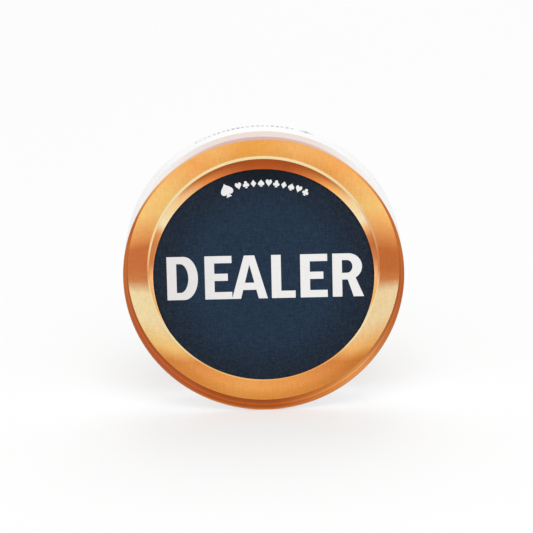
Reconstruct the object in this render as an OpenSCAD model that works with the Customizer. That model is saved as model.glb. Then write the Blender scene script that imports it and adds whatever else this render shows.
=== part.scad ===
// Dealer button: two printed discs bonded back to back, standing on the rim.
// The disc axis is Y, the front face looks along -Y and the lowest rim point is at z = 0.

/* [Body] */
// Diameter of the button
disc_d = 50; // [40:1:60]
// Thickness from face to face
total_t = 12; // [9:0.5:20]
// Rounding of the rim at each printed face
rim_round = 0.25; // [0.2:0.05:0.6]
// Chamfer where the two discs meet
joint_chamfer = 0.12; // [0.1:0.02:0.4]
// Thickness of the bond between the discs
bond_t = 0.1; // [0.06:0.02:0.3]
// Thickness of the printed layer
ink_t = 0.12; // [0.08:0.02:0.18]

/* [Printed ring] */
// Outer diameter of the ring's flat face, on a 50 mm disc: printed sizes scale with the disc
ring_outer_d = 48.3; // [47.5:0.1:48.8]
// How far that circle sits above the disc centre
ring_outer_up = 1.07; // [0.8:0.01:1.3]
// Width of the ring's flat face at the top
face_top_w = 3.32; // [3:0.02:3.6]
// Width of the ring's flat face at the bottom
face_bottom_w = 3.62; // [3.3:0.02:3.7]
// Width of the bright lip line at the top
lip_top_w = 0.55; // [0.3:0.01:0.7]
// Width of the bright lip line at the bottom
lip_bottom_w = 0.11; // [0.08:0.01:0.3]
// Narrowest width of the inner and outer bevels
bevel_min_w = 0.08; // [0.06:0.01:0.12]

/* [Printed field] */
// Diameter of the dark field
field_d = 39.34; // [39:0.02:39.4]
// How far the field sits below the disc centre
field_down = 0.15; // [0.1:0.01:0.3]

/* [Word] */
// Height of the capitals
cap_h = 7.95; // [7:0.05:8.6]
// Width of the upright strokes
stem_w = 1.7; // [1.5:0.02:2]
// Height of the level strokes
bar_h = 1.32; // [1.1:0.02:1.5]
// Distance from the disc centre down to the baseline
baseline_down = 4.15; // [3.5:0.05:5]
// Left end of the word, from the disc centre
word_left = 17.2; // [16.9:0.05:17.4]

/* [Pips] */
// Radius of the arc through the middles of the small pips
pip_arc_r = 17; // [16:0.1:17.4]
// Height of a small pip
pip_h = 1.3; // [1:0.05:1.4]
// Height of the large pip that leads the row
lead_pip_h = 2.6; // [2.2:0.1:3]
// Number of small pips in the row
pip_count = 10; // [4:1:10]
// Number of marks on the rim
rim_mark_count = 21; // [3:1:24]

/* [Hidden] */

white = [0.96, 0.95, 0.94];
bond_white = [0.85, 0.85, 0.86];
rust = [0.62, 0.30, 0.12];
gold = [0.90, 0.62, 0.32];
pale_gold = [0.95, 0.84, 0.62];
copper = [0.70, 0.36, 0.16];
navy = [0.13, 0.18, 0.25];

disc_r = disc_d / 2;
// Printed sizes are given for a disc of this diameter, and scale with the disc.
base_d = 50;
print_scale = disc_d / base_d;
half_t = total_t / 2;
ink_z = half_t - ink_t;
cut = 1;
fine = 720;
arc_steps = 4;
lobe_steps = 8;
bowl_step = 7.5;
curve_step = 15;

// Turned solids start this many degrees off level, so that a coarse mesh of one
// has no edge along the rim's lowest line.
seam_turn = 1;

// The printed layer starts part of the way round the rim rounding, at this angle.
ink_angle = asin(1 - ink_t / rim_round);

// Each circle of the ring lies inside the one before it, off centre by the widths between them.
ring_inner_d = ring_outer_d - face_top_w - face_bottom_w;
ring_inner_up = ring_outer_up + (face_bottom_w - face_top_w) / 2;
lip_inner_d = ring_inner_d - lip_top_w - lip_bottom_w;
lip_inner_up = ring_inner_up + (lip_bottom_w - lip_top_w) / 2;

// Widths of the letters, and the gap after each one: the foot of A just laps the first E.
d_w = 5.5;
e_w = 4.81;
a_w = 6.36;
l_w = 4.23;
r_w = 5.57;
d_gap = 1.23;
a_lap = 0.05;
open_gap = 0.73;
letter_gap = 0.9;
e_x = d_w + d_gap;
a_x = e_x + e_w - a_lap;
l_x = a_x + a_w + open_gap;
second_e_x = l_x + l_w + letter_gap;
r_x = second_e_x + e_w + letter_gap;

// The row of pips runs from the lead pip's angle round to the right.
lead_angle = -21.5;
row_start = -14;
row_end = 27;

// The rim marks sit at the top of the rear disc's rim, nearer its face than the bond.
rim_mark_share = 0.66;
rim_mark_start = -27.5;
rim_mark_end = 13;
rim_mark_w = 0.58;
rim_mark_h = 1.1;
rim_mark_depth = 0.22;
rim_pip_angle = 19;
rim_pip_w = 3;
rim_pip_h = 1.9;

// ---- Frames: children are drawn in a face's own plane, with z pointing out of the face.
module front_side() {
  translate([0, 0, disc_r]) rotate([90, 0, 0]) children();
}

module rear_side() {
  translate([0, 0, disc_r]) rotate([0, 0, 180]) rotate([90, 0, 0]) children();
}

// ---- Outline of the rim rounding, from one angle to another.
function rim_arc(from, to) = [
  for (i = [0 : arc_steps])
    let (a = from + (to - from) * i / arc_steps)
      [disc_r - rim_round + rim_round * cos(a), half_t - rim_round + rim_round * sin(a)]
];

// One disc without its printed layer.
module disc_body() {
  outline = concat(
    [[0, bond_t / 2], [disc_r - joint_chamfer, bond_t / 2], [disc_r, bond_t / 2 + joint_chamfer]],
    rim_arc(0, ink_angle),
    [[0, ink_z]]
  );
  rotate([0, 0, seam_turn]) rotate_extrude($fn = fine) polygon(outline);
}

// The whole printed layer, up to and over the rim rounding.
module ink_sheet() {
  rotate([0, 0, seam_turn])
    rotate_extrude($fn = fine) polygon(concat([[0, ink_z]], rim_arc(ink_angle, 90), [[0, half_t]]));
}

// A printed area as thick as the ink, flush with the face.
module ink() {
  translate([0, 0, ink_z]) linear_extrude(ink_t) children();
}

// A printed circle, drawn from its diameter and its height above the disc centre.
module printed_circle(d, up) {
  scale(print_scale) translate([0, up]) circle(d = d, $fn = fine);
}

// The ring's outer circle runs off the disc at the top, so it is clipped inside the rim rounding.
module ring_outer_outline() {
  intersection() {
    printed_circle(ring_outer_d, ring_outer_up);
    circle(r = disc_r - rim_round - bevel_min_w, $fn = fine);
  }
}

module ring_inner_outline() {
  printed_circle(ring_inner_d, ring_inner_up);
}

module lip_inner_outline() {
  printed_circle(lip_inner_d, lip_inner_up);
}

// The field's lower edge follows the ring, and its upper edge is a circle of its own.
module field_outline() {
  intersection() {
    printed_circle(field_d, -field_down);
    printed_circle(lip_inner_d - 2 * bevel_min_w, lip_inner_up);
  }
}

// ---- Letters, each drawn from its left foot on the baseline.
// Points round the right-hand half of an ellipse, from top to bottom.
function bowl(x, mid, rx, ry) = [
  for (a = [90 : -bowl_step : -90]) [x + rx * cos(a), mid + ry * sin(a)]
];

module letter_d() {
  swell = d_w * 0.45;
  inner_swell = d_w * 0.26;
  difference() {
    polygon(concat([[0, 0], [0, cap_h]], bowl(d_w - swell, cap_h / 2, swell, cap_h / 2)));
    polygon(concat(
      [[stem_w, bar_h], [stem_w, cap_h - bar_h]],
      bowl(d_w - stem_w - inner_swell, cap_h / 2, inner_swell, cap_h / 2 - bar_h)
    ));
  }
}

module letter_e() {
  middle_w = e_w * 0.85;
  middle_up = (cap_h - bar_h) * 0.51;
  polygon([
    [0, 0], [0, cap_h], [e_w, cap_h], [e_w, cap_h - bar_h], [stem_w, cap_h - bar_h],
    [stem_w, middle_up + bar_h], [middle_w, middle_up + bar_h], [middle_w, middle_up],
    [stem_w, middle_up], [stem_w, bar_h], [e_w, bar_h], [e_w, 0]
  ]);
}

module letter_a() {
  apex_w = a_w * 0.29;
  apex_left = (a_w - apex_w) / 2;
  peak = cap_h * 0.79;
  half_gap = a_w / 2 - stem_w * 0.94;
  low = bar_h * 1.22;
  high = low + bar_h;
  low_gap = half_gap * (1 - low / peak);
  high_gap = half_gap * (1 - high / peak);
  difference() {
    polygon([[0, 0], [apex_left, cap_h], [apex_left + apex_w, cap_h], [a_w, 0]]);
    translate([a_w / 2, 0]) {
      polygon([
        [-half_gap, -cut], [-half_gap, 0], [-low_gap, low],
        [low_gap, low], [half_gap, 0], [half_gap, -cut]
      ]);
      polygon([[-high_gap, high], [0, peak], [high_gap, high]]);
    }
  }
}

module letter_l() {
  polygon([[0, 0], [0, cap_h], [stem_w, cap_h], [stem_w, bar_h], [l_w, bar_h], [l_w, 0]]);
}

module letter_r() {
  bowl_h = cap_h * 0.605;
  bowl_w = r_w * 0.945;
  swell = bowl_h / 2;
  thin_h = bar_h * 0.93;
  mid = cap_h - bowl_h / 2;
  counter_h = bowl_h - 2 * thin_h;
  counter_swell = counter_h * 0.42;
  leg_top = cap_h - bowl_h;
  leg_left = r_w * 0.485;
  leg_right = r_w * 0.735;
  foot_w = stem_w * 1.09;
  // The bowl stops where the leg leaves it.
  bowl_end = -acos((leg_right - bowl_w + swell) / swell);
  difference() {
    polygon(concat(
      [[0, 0], [0, cap_h]],
      [for (a = [90 : -bowl_step : bowl_end]) [bowl_w - swell + swell * cos(a), mid + swell * sin(a)]],
      [[leg_right, mid + swell * sin(bowl_end)], [r_w, 0], [r_w - foot_w, 0]],
      [[leg_left, leg_top], [stem_w, leg_top], [stem_w, 0]]
    ));
    polygon(concat(
      [[stem_w, mid - counter_h / 2], [stem_w, mid + counter_h / 2]],
      bowl(bowl_w - stem_w - counter_swell, mid, counter_swell, counter_h / 2)
    ));
  }
}

module word_outline() {
  scale(print_scale) translate([-word_left, -baseline_down]) {
    letter_d();
    translate([e_x, 0]) letter_e();
    translate([a_x, 0]) letter_a();
    translate([l_x, 0]) letter_l();
    translate([second_e_x, 0]) letter_e();
    translate([r_x, 0]) letter_r();
  }
}

// ---- Card suits, each one unit high and centred on its middle.
// Points of a heart curve between two angles, which starts and ends at the notch on top.
function heart_curve(from, to) = [
  for (t = [from : curve_step : to])
    [0.44 * pow(sin(t), 3), (13 * cos(t) - 5 * cos(2 * t) - 2 * cos(3 * t) - cos(4 * t) + 2.6) / 29]
];

// Points of a circle between two angles.
function lobe(x, y, r, from, to) = [
  for (i = [0 : lobe_steps])
    let (a = from + (to - from) * i / lobe_steps)
      [x + r * cos(a), y + r * sin(a)]
];

stalk_foot = [[-0.2, -0.5], [0.2, -0.5]];

module heart() {
  polygon(heart_curve(0, 345));
}

module diamond() {
  polygon([[-0.38, 0], [0, 0.5], [0.38, 0], [0, -0.5]]);
}

module spade() {
  leaf = [for (p = heart_curve(30, 330)) [p[0], 0.08 - 0.84 * p[1]]];
  polygon(concat(leaf, stalk_foot));
}

module club() {
  r = 0.22;
  out = 0.22;
  low = -0.09;
  high = 0.265;
  tilt = atan2(high - low, out);
  meet = acos(norm([out, high - low]) / 2 / r);
  foot = 140;
  polygon(concat(
    lobe(out, low, r, -foot, 180 - tilt - meet),
    lobe(0, high, r, meet - tilt, 180 + tilt - meet),
    lobe(-out, low, r, tilt + meet, 180 + foot),
    stalk_foot
  ));
}

module suit(number) {
  if (number % 4 == 0) heart();
  if (number % 4 == 1) club();
  if (number % 4 == 2) diamond();
  if (number % 4 == 3) spade();
}

module pip_row_outline() {
  for (i = [0 : pip_count - 1]) {
    angle = row_start + (row_end - row_start) * i / (pip_count - 1);
    scale(print_scale) rotate(-angle) translate([0, pip_arc_r]) scale(pip_h) suit(i);
  }
}

module pip_lead_outline() {
  scale(print_scale) rotate(-lead_angle) translate([0, pip_arc_r]) scale(lead_pip_h) spade();
}

// ---- Printed areas of one face, which together tile the whole printed layer.
module outer_bevel() {
  difference() {
    ink_sheet();
    translate([0, 0, ink_z - cut]) linear_extrude(ink_t + 2 * cut) ring_outer_outline();
  }
}

module ring_face() {
  ink() difference() {
    ring_outer_outline();
    ring_inner_outline();
  }
}

module lip_line() {
  ink() difference() {
    ring_inner_outline();
    lip_inner_outline();
  }
}

module inner_bevel() {
  ink() difference() {
    lip_inner_outline();
    field_outline();
  }
}

module field() {
  ink() difference() {
    field_outline();
    word_outline();
    pip_row_outline();
    pip_lead_outline();
  }
}

// ---- Marks let into the rear disc's rim: a row of dashes and one lozenge.
module rim_cutters() {
  mark_z = half_t * rim_mark_share;
  for (i = [0 : rim_mark_count - 1]) {
    angle = rim_mark_start + (rim_mark_end - rim_mark_start) * i / (rim_mark_count - 1);
    rotate([0, 0, angle]) translate([-rim_mark_w / 2, disc_r - rim_mark_depth, mark_z - rim_mark_h / 2])
      cube([rim_mark_w, rim_mark_depth + cut, rim_mark_h]);
  }
  rotate([0, 0, rim_pip_angle]) translate([0, disc_r - rim_mark_depth, mark_z]) rotate([-90, 0, 0])
    linear_extrude(rim_mark_depth + cut)
      polygon([[-rim_pip_w / 2, 0], [0, rim_pip_h / 2], [rim_pip_w / 2, 0], [0, -rim_pip_h / 2]]);
}

// ---- Sub-parts.
module front_disc() { color(white) front_side() disc_body(); }
module rear_disc() { color(white) rear_side() difference() { disc_body(); rim_cutters(); } }
module bond_film() {
  color(bond_white) front_side() cylinder(r = disc_r - joint_chamfer, h = bond_t, center = true, $fn = fine);
}

module front_outer_bevel() { color(rust) front_side() outer_bevel(); }
module front_ring_face() { color(gold) front_side() ring_face(); }
module front_lip_line() { color(pale_gold) front_side() lip_line(); }
module front_inner_bevel() { color(copper) front_side() inner_bevel(); }
module front_field() { color(navy) front_side() field(); }
module front_word() { color(white) front_side() ink() word_outline(); }
module front_pip_row() { color(white) front_side() ink() pip_row_outline(); }
module front_pip_lead() { color(white) front_side() ink() pip_lead_outline(); }

module rear_outer_bevel() { color(rust) rear_side() outer_bevel(); }
module rear_ring_face() { color(gold) rear_side() ring_face(); }
module rear_lip_line() { color(pale_gold) rear_side() lip_line(); }
module rear_inner_bevel() { color(copper) rear_side() inner_bevel(); }
module rear_field() { color(navy) rear_side() field(); }
module rear_word() { color(white) rear_side() ink() word_outline(); }
module rear_pip_row() { color(white) rear_side() ink() pip_row_outline(); }
module rear_pip_lead() { color(white) rear_side() ink() pip_lead_outline(); }

module rim_marks() { color(navy) rear_side() intersection() { disc_body(); rim_cutters(); } }

front_disc();
rear_disc();
bond_film();
front_outer_bevel();
front_ring_face();
front_lip_line();
front_inner_bevel();
front_field();
front_word();
front_pip_row();
front_pip_lead();
rear_outer_bevel();
rear_ring_face();
rear_lip_line();
rear_inner_bevel();
rear_field();
rear_word();
rear_pip_row();
rear_pip_lead();
rim_marks();
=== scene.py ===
"""Looks for the dealer button: two printed discs, back to back, standing on their rim in a pale studio."""
import math

import bpy
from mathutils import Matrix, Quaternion, Vector


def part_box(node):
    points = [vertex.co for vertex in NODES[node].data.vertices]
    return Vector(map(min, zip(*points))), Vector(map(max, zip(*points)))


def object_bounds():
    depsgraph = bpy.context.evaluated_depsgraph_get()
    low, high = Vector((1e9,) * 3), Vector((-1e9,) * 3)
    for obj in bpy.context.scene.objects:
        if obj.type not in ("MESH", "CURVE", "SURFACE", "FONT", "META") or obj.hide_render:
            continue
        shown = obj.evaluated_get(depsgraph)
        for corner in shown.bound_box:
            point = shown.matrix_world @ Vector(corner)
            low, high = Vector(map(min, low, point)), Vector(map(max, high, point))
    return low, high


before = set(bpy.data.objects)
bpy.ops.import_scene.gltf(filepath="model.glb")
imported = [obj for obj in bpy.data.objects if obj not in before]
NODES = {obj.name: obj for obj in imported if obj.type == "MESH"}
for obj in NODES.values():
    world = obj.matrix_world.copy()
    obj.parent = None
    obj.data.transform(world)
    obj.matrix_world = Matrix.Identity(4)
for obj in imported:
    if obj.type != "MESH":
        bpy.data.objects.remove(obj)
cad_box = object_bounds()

MM = 0.001

# ---- Sizes that the looks follow, all read from the frame.
disc_low, disc_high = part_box("front_disc")
DISC_R = (disc_high.x - disc_low.x) / 2
CENTRE_Z = (disc_high.z + disc_low.z) / 2
FACE_Y = cad_box[1].y


def printed_circle(node, whole_end=None):
    """Radius of the circle round a printed node, and its height above the disc centre.

    A circle that another outline cuts is placed from the end where it is whole.
    """
    low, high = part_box(node)
    radius = (high.x - low.x) / 2
    middles = {None: (high.z + low.z) / 2, "bottom": low.z + radius, "top": high.z - radius}
    return radius, middles[whole_end] - CENTRE_Z


RING_OUTER = printed_circle("front_ring_face", whole_end="bottom")
RING_INNER = printed_circle("front_lip_line")
LIP_INNER = printed_circle("front_inner_bevel")
FIELD = printed_circle("front_field", whole_end="top")
DISC_EDGE = (DISC_R, 0.0)


# ---- Colours, written as the eye sees them and turned into the linear light that shaders take.
def paint(code):
    """A shader colour from a six-digit sRGB code."""
    channels = [int(code[i:i + 2], 16) / 255 for i in (0, 2, 4)]
    linear = [c / 12.92 if c <= 0.04045 else ((c + 0.055) / 1.055) ** 2.4 for c in channels]
    return (*linear, 1.0)


# Golds, from pale to deep, and the coppers below them.
IVORY = paint("efdcb2")
CREAM = paint("ecd6a3")
SAND = paint("e9ce9d")
WHEAT = paint("eecd93")
STRAW = paint("f0c783")
HONEY = paint("efbf72")
APRICOT = paint("efb065")
MELON = paint("eea558")
AMBER = paint("eaa24b")
ORANGE = paint("e99a4e")
TAN = paint("df9350")
OCHRE = paint("dd8c48")
SIENNA = paint("d5823c")
CLAY = paint("c87a45")
BRONZE = paint("c27c35")
TOFFEE = paint("be7950")
BRICK = paint("c46c39")
COPPER = paint("bd672f")
RUST = paint("b3582b")
EMBER = paint("ad541f")
UMBER = paint("a94f1c")
SHADE = paint("984313")
# Rosy tints where the gold turns to copper.
BLUSH = paint("eebf90")
SHELL = paint("efb378")
# Multiplied into the gold to deepen it.
DEEPER = paint("eae0c0")
# The field, from its middle to its rim, and its paler flecks.
NAVY = paint("1a2e43")
NAVY_EDGE = paint("14202e")
NAVY_RIM = paint("0b141f")
NAVY_FLECK = paint("303844")
# The white print, a little greyer on the left.
PRINT_GREY = paint("e2dfde")
PRINT_WHITE = paint("ecebea")
# The ceramic, its pores, and the tints on its rim.
CERAMIC = paint("f7f7f7")
CERAMIC_PALE = paint("fbfbfb")
PORE = paint("cfc8c5")
PEACH = paint("e8d6ce")
MAUVE = paint("ccaba8")
BARE = paint("f6f5f5")
# The bond, and the print on the rim.
BOND = paint("d9d6d8")
BOND_PALE = paint("eceaea")
RIM_INK = paint("92949f")
RIM_INK_FADED = paint("f0f0f2")
# The studio floor.
FLOOR = paint("c3c3c3")
FLOOR_PALE = paint("c5c5c5")


# ---- A small helper for building node trees.
# How far the ring's bands tip, and how much more they do low on the ring.
BAND_LEAN = 0.065
LEAN_GROWTH = 0.8


class Graph:
    """A material and the nodes that make it, with positions taken from the object's own frame."""

    def __init__(self, name):
        self.material = bpy.data.materials.new(name)
        self.material.use_nodes = True
        self.tree = self.material.node_tree
        self.shader = self.tree.nodes["Principled BSDF"]
        self.coordinates = self.add("ShaderNodeTexCoord").outputs["Object"]
        self.split = self.add("ShaderNodeSeparateXYZ")
        self.link(self.coordinates, self.split.inputs[0])

    def add(self, kind, **settings):
        node = self.tree.nodes.new(kind)
        for key, value in settings.items():
            setattr(node, key, value)
        return node

    def link(self, source, target):
        if hasattr(source, "links"):
            self.tree.links.new(source, target)
        else:
            target.default_value = source

    def maths(self, operation, *values, clamp=False):
        node = self.add("ShaderNodeMath", operation=operation, use_clamp=clamp)
        for socket, value in zip(node.inputs, values):
            self.link(value, socket)
        return node.outputs[0]

    def remap(self, value, low, high, to_low=0.0, to_high=1.0, smooth=True):
        node = self.add("ShaderNodeMapRange", interpolation_type="SMOOTHSTEP" if smooth else "LINEAR")
        for name, number in (("Value", value), ("From Min", low), ("From Max", high),
                             ("To Min", to_low), ("To Max", to_high)):
            self.link(number, node.inputs[name])
        return node.outputs["Result"]

    def mix(self, factor, a, b, blend="MIX"):
        node = self.add("ShaderNodeMix", data_type="RGBA", blend_type=blend)
        colours = [s for s in node.inputs if s.type == "RGBA"]
        self.link(factor, node.inputs["Factor"])
        self.link(a, colours[0])
        self.link(b, colours[1])
        return next(s for s in node.outputs if s.type == "RGBA")

    def ramp(self, value, stops):
        node = self.add("ShaderNodeValToRGB")
        elements = node.color_ramp.elements
        elements.remove(elements[1])
        elements[0].position, elements[0].color = stops[0]
        for position, colour in stops[1:]:
            elements.new(position).color = colour
        self.link(value, node.inputs[0])
        return node.outputs["Color"]

    def levels(self, value, *stops):
        """A number that changes along a value, where 1 leaves a colour as it is. Numbers reach 2."""
        greys = [(position, (level / 2, level / 2, level / 2, 1)) for position, level in stops]
        return self.maths("MULTIPLY", self.ramp(value, greys), 2)

    def round_levels(self, turn, *stops):
        """A number that changes with the turn, and ends as it starts."""
        return self.levels(turn, *stops, (1, stops[0][1]))

    def shaded(self, colour, level):
        """A colour made lighter or darker without a change of hue."""
        node = self.add("ShaderNodeVectorMath", operation="SCALE")
        self.link(colour, node.inputs[0])
        self.link(level, node.inputs["Scale"])
        return node.outputs["Vector"]

    def faded(self, level, share):
        """A level that counts fully where the share is 1 and not at all where it is 0."""
        return self.maths("MULTIPLY_ADD", self.maths("SUBTRACT", level, 1), share, 1)

    def noise(self, per_mm, detail=3.0, vector=None):
        node = self.add("ShaderNodeTexNoise")
        self.link(vector or self.coordinates, node.inputs["Vector"])
        node.inputs["Scale"].default_value = per_mm / MM
        node.inputs["Detail"].default_value = detail
        return node.outputs["Fac"]

    def stretched(self, x, y, z):
        """Coordinates scaled along each axis, for streaks and threads."""
        node = self.add("ShaderNodeMapping")
        node.inputs["Scale"].default_value = (x, y, z)
        self.link(self.coordinates, node.inputs["Vector"])
        return node.outputs["Vector"]

    def bump(self, height, depth_mm, strength):
        node = self.add("ShaderNodeBump")
        node.inputs["Strength"].default_value = strength
        node.inputs["Distance"].default_value = depth_mm * MM
        self.link(height, node.inputs["Height"])
        self.link(node.outputs["Normal"], self.shader.inputs["Normal"])

    def face(self, side):
        """Places on a printed face, with u to the reader's right and v up from the disc centre."""
        across = self.split.outputs["X"]
        u = across if side == "front" else self.maths("MULTIPLY", across, -1)
        v = self.maths("SUBTRACT", self.split.outputs["Z"], CENTRE_Z)
        return u, v

    def turn(self, u, v):
        """The share of a full turn, clockwise from the top."""
        return self.maths("WRAP", self.maths("DIVIDE", self.maths("ARCTAN2", u, v), math.tau), 1, 0)

    def leaning(self, u, v, across):
        """The turn, with its bands tipped towards level as light streaks on a rounded ring are.

        They tip further low on the ring than high on it.
        """
        lower = self.maths("MULTIPLY_ADD", v, -LEAN_GROWTH / DISC_R, 1)
        lean = self.maths("DIVIDE", self.maths("MULTIPLY", u, v), DISC_R ** 2 / BAND_LEAN)
        lean = self.maths("MULTIPLY", lean, lower)
        shift = self.maths("MULTIPLY", lean, self.maths("SUBTRACT", across, 0.5))
        return self.maths("WRAP", self.maths("SUBTRACT", self.turn(u, v), shift), 1, 0)

    def beyond(self, u, v, circle):
        """Distance outside a printed circle, negative within it."""
        radius, up = circle
        rise = self.maths("SUBTRACT", v, up)
        squares = self.maths("ADD", self.maths("POWER", u, 2), self.maths("POWER", rise, 2))
        return self.maths("SUBTRACT", self.maths("SQRT", squares), radius)

    def across(self, u, v, inner, outer):
        """How far a place lies across a band, from its inner circle at 0 to its outer at 1."""
        from_inner = self.beyond(u, v, inner)
        to_outer = self.maths("MULTIPLY", self.beyond(u, v, outer), -1)
        return self.maths("DIVIDE", from_inner, self.maths("ADD", from_inner, to_outer), clamp=True)


def sweep(*stops):
    """Ramp stops from clockwise degrees and colours, closed into a full turn."""
    turns = [(degrees / 360, colour) for degrees, colour in stops]
    return turns + [(1.0, stops[0][1])]


# How far the mauve band and the wear run round from the top, as spreads for near_top.
FRONT_MAUVE_SPREAD = 0.7
REAR_WEAR_SPREAD = 1.25


def near_top(graph, turn, spread=1.0):
    """1 at the top of the disc, falling to 0 about a quarter of the way down where the spread is 1."""
    stops = [(0, 1.0), (0.06 * spread, 0.9), (0.11 * spread, 0.4), (0.16 * spread, 0.0)]
    return graph.levels(turn, *stops, *[(1 - place, level) for place, level in reversed(stops)])


# ---- The printed surface, which every printed area shares.
# The linen texture: its thread pitch, how long and fine the threads are, and the mottle over them.
THREAD_MM = 0.4
ALONG_THREAD = 0.22
ACROSS_THREAD = 1.6
MOTTLE_PER_MM = 2.2
WEAVE_SHARE = 0.7
PRINT_ROUGHNESS = (0.36, 0.52)


def printed_surface(graph, colour, grain):
    """A satin print over a faint linen texture: threads both ways, with a fine mottle."""
    level_threads = graph.noise(1 / THREAD_MM, 2, graph.stretched(ALONG_THREAD, 1, ACROSS_THREAD))
    upright_threads = graph.noise(1 / THREAD_MM, 2, graph.stretched(ACROSS_THREAD, 1, ALONG_THREAD))
    weave = graph.maths("MULTIPLY", graph.maths("ADD", level_threads, upright_threads), WEAVE_SHARE / 2)
    mottle = graph.maths("MULTIPLY", graph.noise(MOTTLE_PER_MM, 4), 1 - WEAVE_SHARE)
    pattern = graph.maths("ADD", weave, mottle)
    gain = graph.remap(pattern, 0.3, 0.7, 1 - grain, 1 + grain, smooth=False)
    graph.link(graph.shaded(colour, gain), graph.shader.inputs["Base Color"])
    graph.link(graph.remap(pattern, 0.25, 0.75, *PRINT_ROUGHNESS), graph.shader.inputs["Roughness"])
    graph.shader.inputs["Specular IOR Level"].default_value = 0.1
    graph.bump(pattern, 0.02, 0.35)
    return graph.material


def ring_face_material(side):
    graph = Graph(f"{side}_gold_print")
    u, v = graph.face(side)
    across = graph.across(u, v, RING_INNER, RING_OUTER)
    middle = graph.ramp(graph.leaning(u, v, across), sweep(
        (0, AMBER), (15, APRICOT), (33, MELON), (58, HONEY), (64, APRICOT), (71, TAN), (79, COPPER),
        (88, COPPER), (93, CLAY), (98, SAND), (112, SAND), (130, APRICOT), (139, SIENNA), (149, OCHRE),
        (163, ORANGE), (191, MELON), (205, ORANGE), (223, OCHRE), (233, HONEY), (250, CREAM), (263, CREAM),
        (269, CLAY), (275, BRICK), (284, BRICK), (289, TAN), (301, HONEY), (313, HONEY), (323, APRICOT),
        (331, MELON), (341, APRICOT), (352, AMBER)))
    turn = graph.turn(u, v)
    outer = graph.remap(across, 0.3, 0.95)
    inner = graph.remap(across, 0.05, 0.6, 1.0, 0.0)
    # The gold deepens outwards low on the ring, and inwards in patches high on it.
    low = graph.round_levels(turn, (0, 0), (0.3, 0), (0.38, 1), (0.6, 1), (0.7, 0))
    high = graph.round_levels(turn, (0, 0.15), (0.03, 0.5), (0.055, 0.3), (0.09, 0.5), (0.14, 0.2), (0.2, 0),
                              (0.85, 0.1), (0.9, 0.3), (0.917, 0.1), (0.94, 0.4), (0.97, 0.4))
    colour = graph.mix(graph.maths("MULTIPLY", outer, low), middle, DEEPER, "MULTIPLY")
    colour = graph.mix(graph.maths("MULTIPLY", inner, high), colour, DEEPER, "MULTIPLY")
    # Its outer part is a little lighter towards the shoulders.
    level = graph.round_levels(turn, (0, 1.0), (0.08, 1.05), (0.17, 1.05), (0.3, 1.0), (0.72, 1.0),
                               (0.83, 1.05), (0.94, 1.03))
    colour = graph.shaded(colour, graph.faded(level, outer))
    brushed = graph.noise(3.0, vector=graph.stretched(1, 1, 0.12))
    colour = graph.shaded(colour, graph.remap(brushed, 0.3, 0.7, 0.96, 1.01))
    return printed_surface(graph, colour, grain=0.11)


def bevel_sweep(graph, turn):
    """Colours round the outer bevel, which also run over the edge of the face."""
    return graph.ramp(turn, sweep(
        (0, AMBER), (20, APRICOT), (40, MELON), (50, OCHRE), (60, COPPER), (70, COPPER), (80, COPPER),
        (98, RUST), (112, COPPER), (124, CLAY), (135, TAN), (143, TAN), (153, SIENNA), (167, COPPER),
        (176, EMBER), (205, EMBER), (212, RUST), (250, RUST), (272, COPPER), (284, COPPER), (292, RUST),
        (300, BRONZE), (308, TAN), (318, APRICOT), (345, APRICOT)))


def outer_bevel_material(side):
    graph = Graph(f"{side}_bevel_print")
    u, v = graph.face(side)
    turn = graph.turn(u, v)
    across = graph.across(u, v, RING_OUTER, DISC_EDGE)
    # A dark groove with one bright line runs round the lower half, and a brighter edge outside it.
    lower = graph.remap(v, 0, 8 * MM, 1.0, 0.0)
    groove = graph.levels(across, (0.0, 0.66), (0.15, 0.84), (0.3, 0.88), (0.38, 1.0), (0.43, 1.35),
                          (0.49, 1.04), (0.6, 0.9), (0.7, 0.92), (0.8, 1.0), (1.0, 1.0))
    colour = graph.shaded(bevel_sweep(graph, turn), graph.faded(groove, lower))
    glint = graph.round_levels(turn, (0, 0.2), (0.42, 0.3), (0.46, 0.5), (0.8, 0.5))
    bright_edge = graph.maths("MULTIPLY", graph.remap(across, 0.74, 0.92), lower)
    bright_edge = graph.maths("MULTIPLY", bright_edge, glint)
    lowest = graph.round_levels(turn, (0, 0), (0.44, 0), (0.48, 1), (0.57, 1), (0.6, 0))
    colour = graph.mix(bright_edge, colour, graph.mix(lowest, TOFFEE, ORANGE))
    # On the front face the print's top edge turns mauve; on the rear face it is worn back to bare white.
    band_colour = MAUVE if side == "front" else BARE
    colour = graph.mix(top_edge_band(graph, side, u, v, turn), colour, band_colour)
    return printed_surface(graph, colour, grain=0.08)


def top_edge_band(graph, side, u, v, turn):
    """1 near the edge at the top of a face, where the print gives way: to a mauve band on the front face,
    and on the rear face to bare white where it has worn back, further round.
    """
    if side == "front":
        spread = FRONT_MAUVE_SPREAD
        reach_mm = graph.round_levels(turn, (0, 0.25), (0.02, 0.12), (0.05, 0.06), (0.1, 0), (0.9, 0),
                                      (0.94, 0.06), (0.97, 0.16))
    else:
        spread = REAR_WEAR_SPREAD
        reach_mm = 0.2
    past = graph.maths("MULTIPLY_ADD", reach_mm, MM, graph.beyond(u, v, DISC_EDGE))
    return graph.maths("MULTIPLY", near_top(graph, turn, spread), graph.remap(past, -0.05 * MM, 0.08 * MM))


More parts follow.
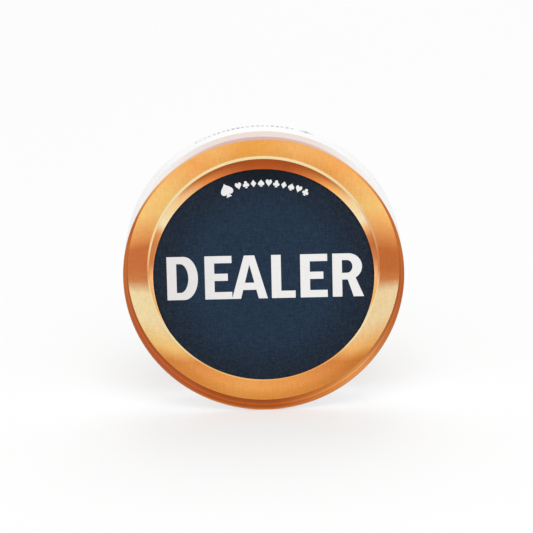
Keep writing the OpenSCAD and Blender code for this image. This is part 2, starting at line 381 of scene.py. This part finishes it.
def lip_line_material(side):
    graph = Graph(f"{side}_lip_print")
    u, v = graph.face(side)
    base = graph.ramp(graph.turn(u, v), sweep(
        (0, CREAM), (25, CREAM), (40, SAND), (50, SAND), (80, CLAY), (88, CLAY), (94, BLUSH), (102, CREAM),
        (110, IVORY), (132, IVORY), (138, HONEY), (150, MELON), (170, APRICOT), (188, WHEAT), (200, STRAW),
        (215, HONEY), (223, CREAM), (229, IVORY), (262, CREAM), (268, BLUSH), (272, TAN), (280, SHELL),
        (288, WHEAT), (300, CREAM)))
    across = graph.across(u, v, LIP_INNER, RING_INNER)
    softness = graph.levels(across, (0.0, 0.85), (0.25, 1.02), (0.7, 1.06), (1.0, 0.9))
    return printed_surface(graph, graph.shaded(base, softness), grain=0.03)


def inner_bevel_material(side):
    graph = Graph(f"{side}_copper_print")
    u, v = graph.face(side)
    turn = graph.turn(u, v)
    base = graph.ramp(turn, sweep(
        (0, UMBER), (14, UMBER), (23, COPPER), (31, SIENNA), (41, APRICOT), (50, WHEAT), (61, IVORY),
        (65, SHELL), (70, CLAY), (75, COPPER), (82, CLAY), (91, SHELL), (104, APRICOT), (112, CREAM),
        (130, CREAM), (137, TAN), (170, MELON), (213, APRICOT), (224, WHEAT), (236, IVORY), (252, APRICOT),
        (270, SHELL), (278, CLAY), (289, CLAY), (294, TAN), (299, IVORY), (309, WHEAT), (320, SHELL),
        (330, SIENNA), (341, COPPER), (352, UMBER)))
    across = graph.across(u, v, FIELD, LIP_INNER)
    # The inner edge rolls up into the light, least where the bevel is pale already.
    roll = graph.levels(across, (0.0, 1.25), (0.35, 1.04), (1.0, 0.97))
    rolled = graph.round_levels(turn, (0, 1), (0.1, 1), (0.14, 0.4), (0.19, 0.4), (0.22, 1), (0.8, 1),
                                (0.83, 0.2), (0.89, 0.3), (0.93, 1))
    colour = graph.shaded(base, graph.faded(roll, rolled))
    # The outer edge is darker near the top, as if the lip shaded it.
    shadow = graph.round_levels(turn, (0, 0.5), (0.04, 0.7), (0.09, 0.7), (0.12, 0.3), (0.14, 0), (0.87, 0),
                                (0.89, 0.5), (0.92, 0.8), (0.96, 0.8))
    under_lip = graph.maths("MULTIPLY", shadow, graph.remap(across, 0.3, 1.0))
    return printed_surface(graph, graph.mix(under_lip, colour, SHADE), grain=0.08)


def field_material(side):
    graph = Graph(f"{side}_navy_print")
    u, v = graph.face(side)
    reach = graph.beyond(u, v, FIELD)
    colour = graph.ramp(graph.remap(reach, -FIELD[0], 0, smooth=False), [
        (0.0, NAVY), (0.6, NAVY), (0.92, NAVY_EDGE), (0.97, NAVY_EDGE), (0.995, NAVY_RIM)])
    fleck = graph.remap(graph.noise(2.6), 0.35, 0.65, 0.0, 0.3)
    flecked = graph.mix(fleck, colour, NAVY_FLECK)
    # The top edge is darker, as if the ring shaded it.
    shadow = graph.round_levels(graph.turn(u, v), (0, 0.4), (0.03, 0.5), (0.09, 1), (0.91, 1), (0.97, 0.5))
    shadow = graph.faded(shadow, graph.remap(reach, -3.4 * MM, -1.2 * MM))
    return printed_surface(graph, graph.shaded(flecked, shadow), grain=0.5)


def lettering_material(side):
    graph = Graph(f"{side}_white_print")
    u, v = graph.face(side)
    wander = graph.maths("MULTIPLY", graph.noise(0.25, 2), 8 * MM)
    place = graph.remap(graph.maths("ADD", u, wander), -14 * MM, 4 * MM)
    return printed_surface(graph, graph.ramp(place, [(0.0, PRINT_GREY), (1.0, PRINT_WHITE)]), grain=0.04)


# ---- The cast body.
def disc_material(side):
    """White ceramic, dyed by the print that runs over the edge of the face; the top of the front rim is
    tinted peach, with a mauve band along the face edge.
    """
    graph = Graph(f"{side}_white_ceramic")
    u, v = graph.face(side)
    turn = graph.turn(u, v)
    from_face = graph.maths("SUBTRACT", FACE_Y, graph.maths("ABSOLUTE", graph.split.outputs["Y"]))
    wander = graph.maths("MULTIPLY", graph.noise(0.5), 0.4 * MM)
    body = graph.ramp(graph.noise(0.15), [(0.3, CERAMIC), (0.7, CERAMIC_PALE)])
    if side == "front":
        top = near_top(graph, turn)
        # Peach tint over the top of the front rim, fading to white down the sides, with a mauve band nearest
        # the face.
        body = graph.mix(top, body, PEACH)
        mauve_band = graph.remap(graph.maths("ADD", from_face, wander), 1.5 * MM, 2.3 * MM, 1.0, 0.0)
        mauve_band = graph.maths("MULTIPLY", mauve_band, near_top(graph, turn, FRONT_MAUVE_SPREAD))
        body = graph.mix(mauve_band, body, MAUVE)
        edge = graph.mix(top, bevel_sweep(graph, turn), MAUVE)
        reach = 0.4 * MM
    else:
        edge = graph.mix(near_top(graph, turn, REAR_WEAR_SPREAD), bevel_sweep(graph, turn), body)
        reach = 0.3 * MM
    bleed = graph.maths("MULTIPLY_ADD", wander, 0.3, from_face)
    colour = graph.mix(graph.remap(bleed, reach, 1.6 * reach, 1.0, 0.0), body, edge)
    pores = graph.add("ShaderNodeTexVoronoi")
    graph.link(graph.coordinates, pores.inputs["Vector"])
    pores.inputs["Scale"].default_value = 1.3 / MM
    pit = graph.remap(pores.outputs["Distance"], 0.05, 0.2)
    grain = graph.noise(5.0, 4)
    pitted = graph.mix(graph.maths("MULTIPLY_ADD", pit, -0.12, 0.12), colour, PORE)
    graph.link(pitted, graph.shader.inputs["Base Color"])
    graph.link(graph.remap(grain, 0.3, 0.7, 0.46, 0.62), graph.shader.inputs["Roughness"])
    graph.shader.inputs["Specular IOR Level"].default_value = 0.3
    graph.bump(graph.maths("ADD", grain, pit), 0.015, 0.4)
    return graph.material


def bond_material():
    graph = Graph("bond_line")
    colour = graph.ramp(graph.noise(0.5), [(0.35, BOND), (0.65, BOND_PALE)])
    graph.link(colour, graph.shader.inputs["Base Color"])
    graph.link(graph.remap(graph.noise(2.0), 0.3, 0.7, 0.35, 0.6), graph.shader.inputs["Roughness"])
    graph.bump(graph.noise(3.0), 0.02, 0.3)
    return graph.material


def rim_mark_material():
    """Thin pad print that the white body shows through, most of all at its left end."""
    graph = Graph("rim_ink")
    fade = graph.remap(graph.noise(1.2, 4), 0.38, 0.62, 0.3, 0.8)
    worn_end = graph.remap(graph.split.outputs["X"], -11 * MM, -6 * MM, 0.3, 0.0)
    colour = graph.mix(graph.maths("ADD", fade, worn_end, clamp=True), RIM_INK, RIM_INK_FADED)
    return printed_surface(graph, colour, grain=0.05)


def dress(node, material):
    mesh = NODES[node].data
    mesh.materials.clear()
    mesh.materials.append(material)


for side in ("front", "rear"):
    dress(f"{side}_disc", disc_material(side))
    dress(f"{side}_outer_bevel", outer_bevel_material(side))
    dress(f"{side}_ring_face", ring_face_material(side))
    dress(f"{side}_lip_line", lip_line_material(side))
    dress(f"{side}_inner_bevel", inner_bevel_material(side))
    dress(f"{side}_field", field_material(side))
    white = lettering_material(side)
    for printed in ("word", "pip_row", "pip_lead"):
        dress(f"{side}_{printed}", white)
dress("bond_film", bond_material())
dress("rim_marks", rim_mark_material())


# ---- Studio: one pale floor and soft light from all round.
FLOOR_SIZE = 8
FLOOR_GLOW = 0.41
SKY_STRENGTH = 0.75
LAMP_SIZE = 0.8


def pale_floor():
    bpy.ops.mesh.primitive_plane_add(size=FLOOR_SIZE)
    floor = bpy.context.object
    floor.name = "floor"
    graph = Graph("pale_floor")
    colour = graph.ramp(graph.noise(0.002, 2), [(0.3, FLOOR), (0.7, FLOOR_PALE)])
    graph.link(colour, graph.shader.inputs["Base Color"])
    graph.shader.inputs["Roughness"].default_value = 0.8
    graph.shader.inputs["Specular IOR Level"].default_value = 0.0
    graph.shader.inputs["Emission Color"].default_value = (1, 1, 1, 1)
    graph.shader.inputs["Emission Strength"].default_value = FLOOR_GLOW
    floor.data.materials.append(graph.material)


def soft_box(name, place, watts):
    """A square area lamp that faces the disc centre."""
    lamp = bpy.data.lights.new(name, "AREA")
    lamp.shape = "SQUARE"
    lamp.size = LAMP_SIZE
    lamp.energy = watts
    box = bpy.data.objects.new(name, lamp)
    bpy.context.scene.collection.objects.link(box)
    box.location = place
    box.rotation_mode = "QUATERNION"
    box.rotation_quaternion = (Vector((0, 0, CENTRE_Z)) - Vector(place)).to_track_quat("-Z", "Y")


def studio():
    world = bpy.data.worlds.new("studio")
    world.use_nodes = True
    background = world.node_tree.nodes["Background"]
    background.inputs["Color"].default_value = (1, 1, 1, 1)
    background.inputs["Strength"].default_value = SKY_STRENGTH
    bpy.context.scene.world = world
    soft_box("key", place=(0.05, -0.9, 1.2), watts=6.5)
    soft_box("back", place=(0.05, 0.9, 1.2), watts=3.0)
    bpy.context.scene.view_settings.view_transform = "Standard"


# ---- Camera: a long lens, a little above the disc, held slightly turned.
FOCAL_LENGTH = 235.9
SENSOR_WIDTH = 36
CAMERA_DISTANCE = 0.62
CAMERA_RISE = math.radians(15.4)
CAMERA_ROLL = math.radians(-1.27)
# The camera aims at the front face, this far to the right of the disc centre and above it.
AIM_RIGHT = 0.53 * MM
AIM_UP = 1.7 * MM


def camera():
    lens = bpy.data.cameras.new("camera")
    lens.lens = FOCAL_LENGTH
    lens.sensor_width = SENSOR_WIDTH
    lens.clip_start = 0.01
    view = bpy.data.objects.new("camera", lens)
    bpy.context.scene.collection.objects.link(view)
    aim = Vector((AIM_RIGHT, -FACE_Y, CENTRE_Z + AIM_UP))
    back = Vector((0, -math.cos(CAMERA_RISE), math.sin(CAMERA_RISE)))
    view.location = aim + back * CAMERA_DISTANCE
    view.rotation_mode = "QUATERNION"
    roll = Quaternion((0, 0, 1), CAMERA_ROLL)
    view.rotation_quaternion = (-back).to_track_quat("-Z", "Y") @ roll
    bpy.context.scene.camera = view


pale_floor()
studio()
camera()
